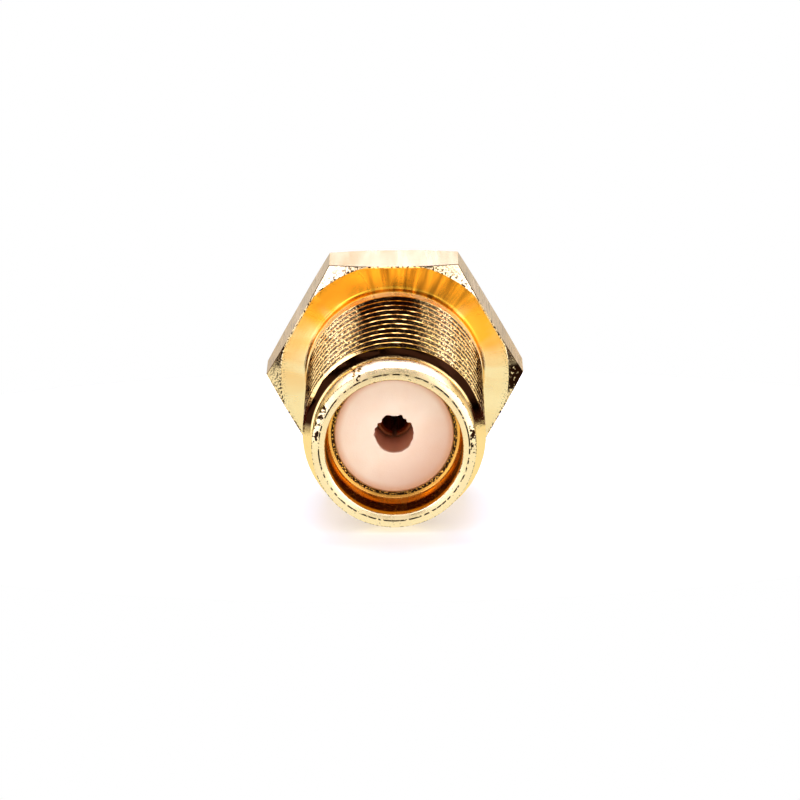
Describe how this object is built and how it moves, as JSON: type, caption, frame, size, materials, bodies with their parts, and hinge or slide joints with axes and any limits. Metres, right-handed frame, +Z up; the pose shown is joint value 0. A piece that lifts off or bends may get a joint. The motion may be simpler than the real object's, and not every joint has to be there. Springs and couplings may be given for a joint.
{
  "type": "sma connector",
  "caption": "Coaxial cable jack with a threaded barrel, a hexagon, a grooved crimp stub, an insulator bead and a slotted centre contact.",
  "frame": {"origin": "on the axis, in the reference plane: the ledge 1.9 mm inside the mouth where the outer conductors of a mated pair meet", "axes": "Y along the connector's axis, with the mating end towards -Y and the cable end towards +Y; +Z up from the hexagon flat that it lies on"},
  "size_m": [0.0092, 0.0206, 0.008],
  "materials": {
    "gold_plated_brass": "turned, bright gold plate",
    "ptfe": "turned, satin",
    "gold_plated_contact": "turned, gold plate"
  },
  "bodies": {
    "root": {"body": "gold_plated_brass", "insulator": "ptfe", "centre_contact": "gold_plated_contact"}
  },
  "joints": []
}
